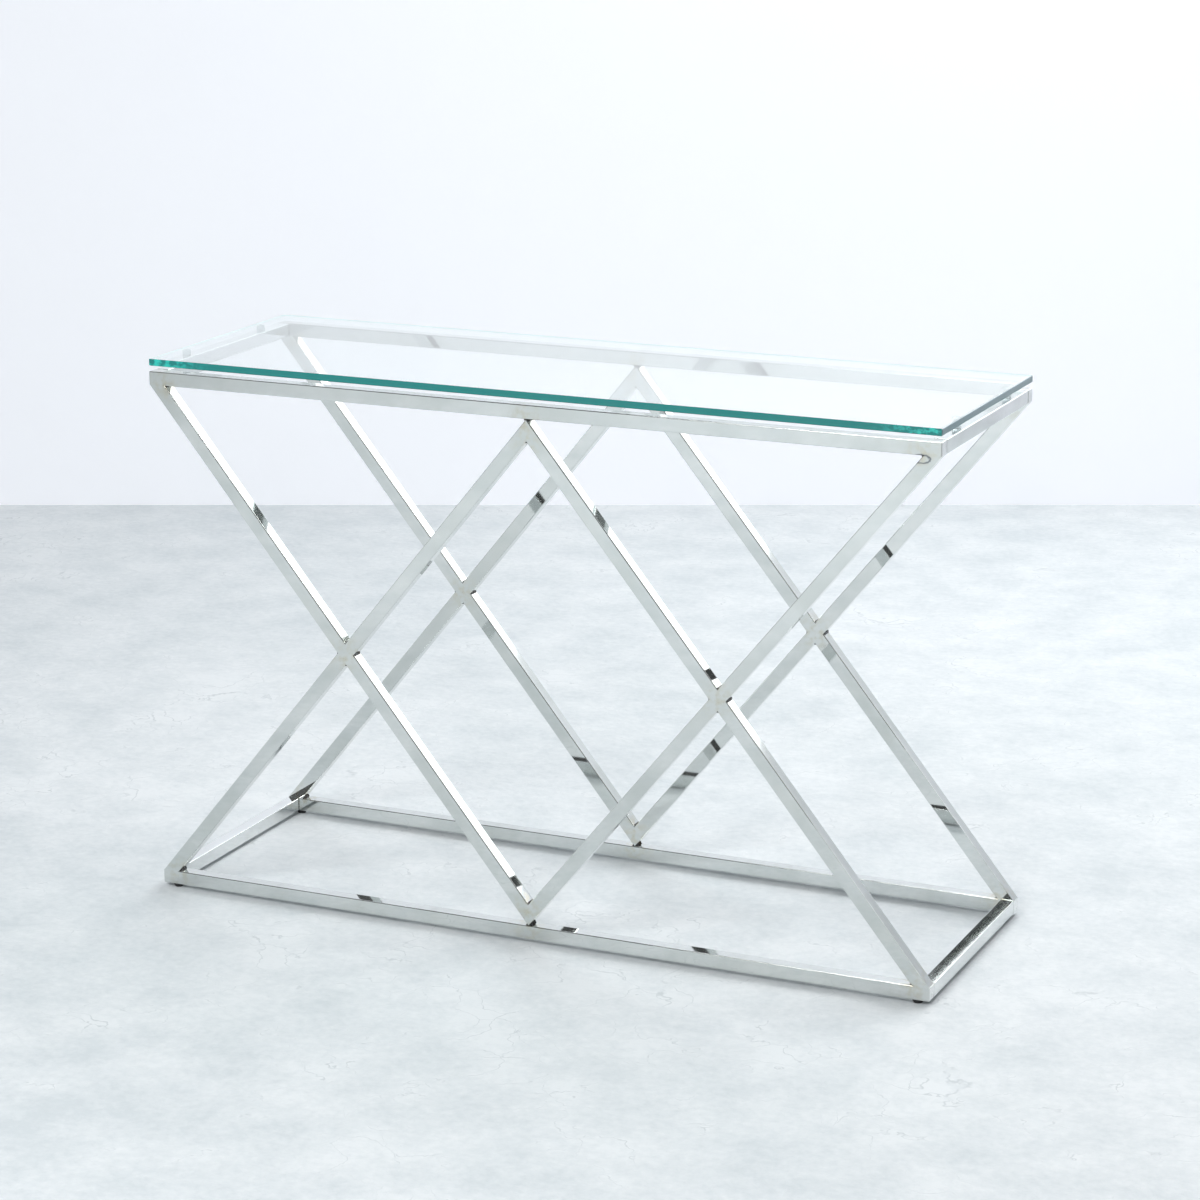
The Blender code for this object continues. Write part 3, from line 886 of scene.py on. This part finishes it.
def plaster_floor():
    """Trowelled pale plaster: clouds of tone and relief at three scales, with fine, darker cracks."""
    material = bpy.data.materials.new("studio_floor")
    material.use_nodes = True
    tree = material.node_tree
    shader = tree.nodes["Principled BSDF"]
    shader.inputs["Roughness"].default_value = 0.6
    shader.inputs["Specular IOR Level"].default_value = 0.3
    place = node(tree, "ShaderNodeTexCoord")
    value = None
    for scale, detail, weight in ((1.1, 4.0, 0.30), (8.0, 7.0, 0.45), (70.0, 4.0, 0.25)):
        cloud = node(tree, "ShaderNodeTexNoise", Scale=scale, Detail=detail, Roughness=0.62)
        tree.links.new(place.outputs["Object"], cloud.inputs["Vector"])
        share = node(tree, "ShaderNodeMath", operation="MULTIPLY_ADD")
        share.inputs[1].default_value = weight
        tree.links.new(cloud.outputs["Fac"], share.inputs[0])
        if value is None:
            share.inputs[2].default_value = 0.0
        else:
            tree.links.new(value, share.inputs[2])
        value = share.outputs["Value"]
    warped = node(tree, "ShaderNodeVectorMath", operation="MULTIPLY_ADD")
    warped.inputs[1].default_value = (0.5, 0.5, 0.0)
    wander = node(tree, "ShaderNodeTexNoise", Scale=5.0, Detail=5.0)
    tree.links.new(place.outputs["Object"], wander.inputs["Vector"])
    tree.links.new(wander.outputs["Color"], warped.inputs[0])
    tree.links.new(place.outputs["Object"], warped.inputs[2])
    crack = node(tree, "ShaderNodeTexVoronoi", feature="DISTANCE_TO_EDGE", Scale=9.0)
    tree.links.new(warped.outputs["Vector"], crack.inputs["Vector"])
    line = node(tree, "ShaderNodeMapRange", interpolation_type="SMOOTHSTEP")
    line.inputs["From Max"].default_value = 0.018
    line.inputs["To Min"].default_value = 1.0
    line.inputs["To Max"].default_value = 0.0
    tree.links.new(crack.outputs["Distance"], line.inputs["Value"])
    patchy = node(tree, "ShaderNodeMapRange", interpolation_type="SMOOTHSTEP")
    patchy.inputs["From Min"].default_value = 0.50
    patchy.inputs["From Max"].default_value = 0.58
    tree.links.new(value, patchy.inputs["Value"])
    broken = node(tree, "ShaderNodeMath", operation="MULTIPLY")
    tree.links.new(line.outputs["Result"], broken.inputs[0])
    tree.links.new(patchy.outputs["Result"], broken.inputs[1])
    tone = node(tree, "ShaderNodeValToRGB")
    tone.color_ramp.elements[0].position = 0.40
    tone.color_ramp.elements[0].color = (0.535, 0.580, 0.602, 1.0)
    tone.color_ramp.elements[1].position = 0.58
    tone.color_ramp.elements[1].color = (0.665, 0.697, 0.713, 1.0)
    tree.links.new(value, tone.inputs["Fac"])
    lined = node(tree, "ShaderNodeMix", data_type="RGBA")
    lined.inputs["B"].default_value = (0.50, 0.54, 0.56, 1.0)
    tree.links.new(broken.outputs["Value"], lined.inputs["Factor"])
    tree.links.new(tone.outputs["Color"], lined.inputs["A"])
    tree.links.new(lined.outputs["Result"], shader.inputs["Base Color"])
    relief = node(tree, "ShaderNodeBump", Strength=1.0, Distance=0.006)
    tree.links.new(value, relief.inputs["Height"])
    tree.links.new(relief.outputs["Normal"], shader.inputs["Normal"])
    return material


def one_sided(material):
    """Makes a backdrop clear from behind, so that it hides nothing in views from the far side."""
    tree = material.node_tree
    face = node(tree, "ShaderNodeNewGeometry")
    clear = node(tree, "ShaderNodeBsdfTransparent")
    chosen = node(tree, "ShaderNodeMixShader")
    tree.links.new(face.outputs["Backfacing"], chosen.inputs["Fac"])
    tree.links.new(tree.nodes["Principled BSDF"].outputs["BSDF"], chosen.inputs[1])
    tree.links.new(clear.outputs["BSDF"], chosen.inputs[2])
    tree.links.new(chosen.outputs["Shader"], tree.nodes["Material Output"].inputs["Surface"])


def soft_panel(name, place, aim, width, height, power):
    """A white area light that the camera doesn't see."""
    lamp = bpy.data.lights.new(name, "AREA")
    lamp.shape = "RECTANGLE"
    lamp.size = width
    lamp.size_y = height
    lamp.energy = power
    panel = bpy.data.objects.new(name, lamp)
    panel.location = place
    panel.rotation_euler = (Vector(aim) - Vector(place)).to_track_quat("-Z", "Y").to_euler()
    panel.visible_camera = False
    bpy.context.scene.collection.objects.link(panel)


def dimmed(tree, place, vector, start, stop, least):
    """The share of the surround's light in a direction: one, easing down to the least along the vector."""
    along = node(tree, "ShaderNodeVectorMath", operation="DOT_PRODUCT")
    along.inputs[1].default_value = vector
    tree.links.new(place.outputs["Generated"], along.inputs[0])
    shade = node(tree, "ShaderNodeMapRange", interpolation_type="SMOOTHSTEP")
    shade.inputs["From Min"].default_value = start
    shade.inputs["From Max"].default_value = stop
    shade.inputs["To Min"].default_value = 1.0
    shade.inputs["To Max"].default_value = least
    tree.links.new(along.outputs["Value"], shade.inputs["Value"])
    return shade.outputs["Result"]


def add_surround():
    """An even white surround, dimmed in front and overhead so that the steel has something dark to mirror."""
    world = bpy.data.worlds.new("studio_surround")
    world.use_nodes = True
    tree = world.node_tree
    background = tree.nodes["Background"]
    background.inputs["Color"].default_value = (0.97, 0.985, 1.0, 1.0)
    place = node(tree, "ShaderNodeTexCoord")
    front = node(tree, "ShaderNodeMath", operation="MULTIPLY")
    front.inputs[1].default_value = SURROUND
    tree.links.new(dimmed(tree, place, (0.35, -0.93, 0.10), 0.05, 0.75, FRONT_SHADE), front.inputs[0])
    strength = node(tree, "ShaderNodeMath", operation="MULTIPLY")
    tree.links.new(dimmed(tree, place, (0.0, 0.0, 1.0), 0.45, 0.95, TOP_SHADE), strength.inputs[0])
    tree.links.new(front.outputs["Value"], strength.inputs[1])
    tree.links.new(strength.outputs["Value"], background.inputs["Strength"])
    bpy.context.scene.world = world


def add_studio():
    """A pale plaster floor, a white wall behind, and soft panels overhead, in front and to the right."""
    square = np.array([[-1, -1, 0], [1, -1, 0], [1, 1, 0], [-1, 1, 0]])
    stage_sheet("studio_floor", square * FLOOR_REACH, plaster_floor())
    wall_paint = finished_material(
        "studio_wall", (0.885, 0.900, 0.935), (0.880, 0.895, 0.930), 0.6, 0.7,
        (("Smudge Scale", 1.0), ("Wave Height", 0.0), ("Grain Scale", 30.0), ("Grain Height", 0.0004)),
        Specular_IOR_Level=0.2, Emission_Color=(0.90, 0.93, 1.0, 1.0), Emission_Strength=0.192,
    )
    one_sided(wall_paint)
    wall = wall_plane(BACKDROP_DISTANCE, CAMERA_AZIMUTH, BACKDROP_WIDTH, BACKDROP_HEIGHT)
    stage_sheet("studio_wall", wall, wall_paint)
    soft_panel("overhead_panel", (0.8, 1.9, 3.3), (0.6, 1.3, 0.0), 3.0, 1.6, OVERHEAD_POWER)
    soft_panel("front_panel", (-0.4, -3.6, 3.2), (-1.6, -2.2, 0.0), 2.4, 2.0, FRONT_POWER)
    soft_panel("wall_panel", (1.64, 3.38, 2.15), (2.45, 1.55, 1.75), 4.4, 1.9, WALL_POWER)
    add_surround()
    bpy.context.scene.view_settings.view_transform = "Standard"


def add_camera():
    """Seen from the right front and above, about five metres off through a long lens."""
    lens = bpy.data.cameras.new("camera")
    lens.sensor_width = 36.0
    lens.lens = 103.75
    lens.shift_y = -1 / 12
    lens.clip_end = 100.0
    camera = bpy.data.objects.new("camera", lens)
    camera.location = CAMERA_PLACE
    camera.rotation_euler = (-CAMERA_BACK).to_track_quat("-Z", "Y").to_euler()
    bpy.context.scene.collection.objects.link(camera)
    bpy.context.scene.camera = camera


add_studio()
add_camera()
